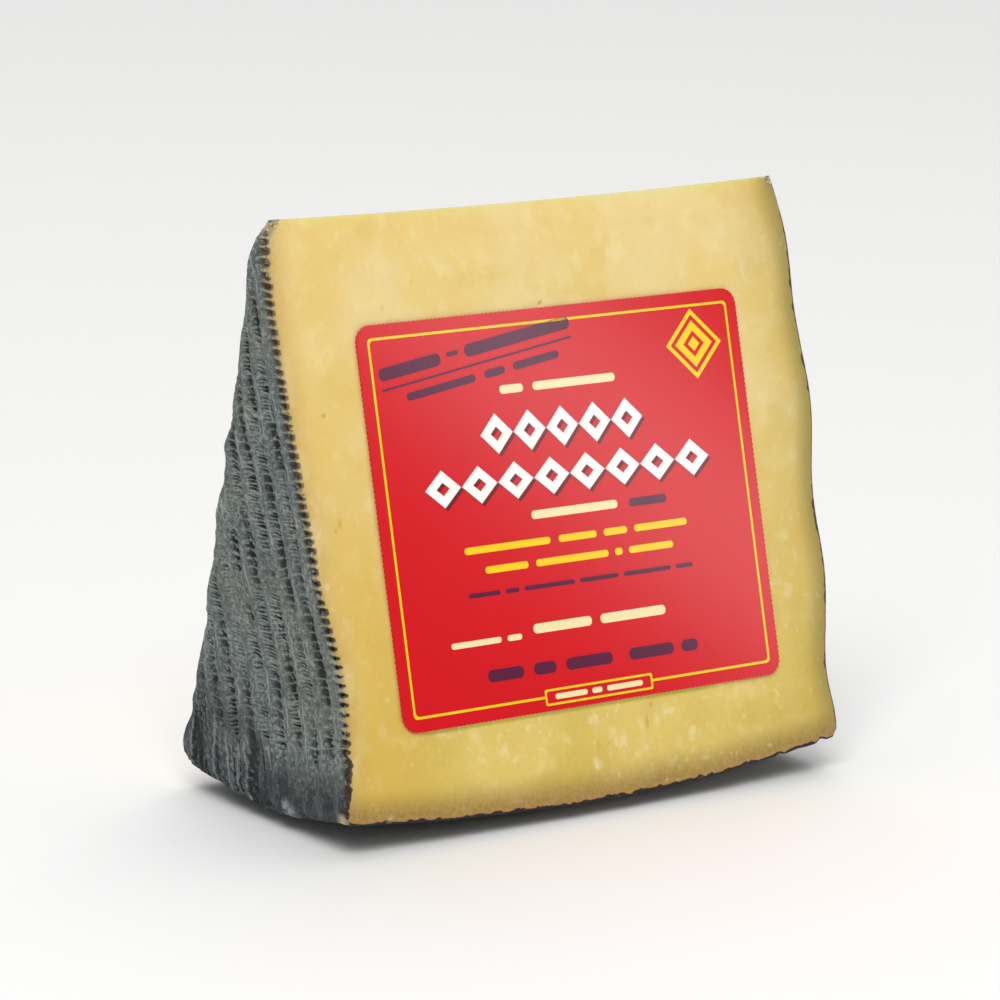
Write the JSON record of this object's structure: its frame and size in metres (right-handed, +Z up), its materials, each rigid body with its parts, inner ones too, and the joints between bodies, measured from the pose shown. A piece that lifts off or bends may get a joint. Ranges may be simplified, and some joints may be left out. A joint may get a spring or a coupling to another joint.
{
  "type": "manchego cheese wedge",
  "caption": "Upright wedge of hard pressed cheese cut from a small wheel, with a grey cloth-printed rind on its ends and underside and a red paper label on one cut face.",
  "frame": {"origin": "on the floor, under the middle of the wedge's box", "axes": "+X along the top edge, from the end seen on the left of the labelled cut to the one on its right; -Y towards the labelled cut; +Z up"},
  "size_m": [0.09, 0.041, 0.0809],
  "materials": {
    "paste": "ivory yellow cheese paste, faintly waxy, with pale specks and fine knife marks",
    "rind": "dry grey rind with a woven cloth's print in relief, paler on its crests",
    "label_paper": null
  },
  "bodies": {
    "root": {"cheese_wedge": "paste", "label": "label_paper"}
  },
  "joints": []
}
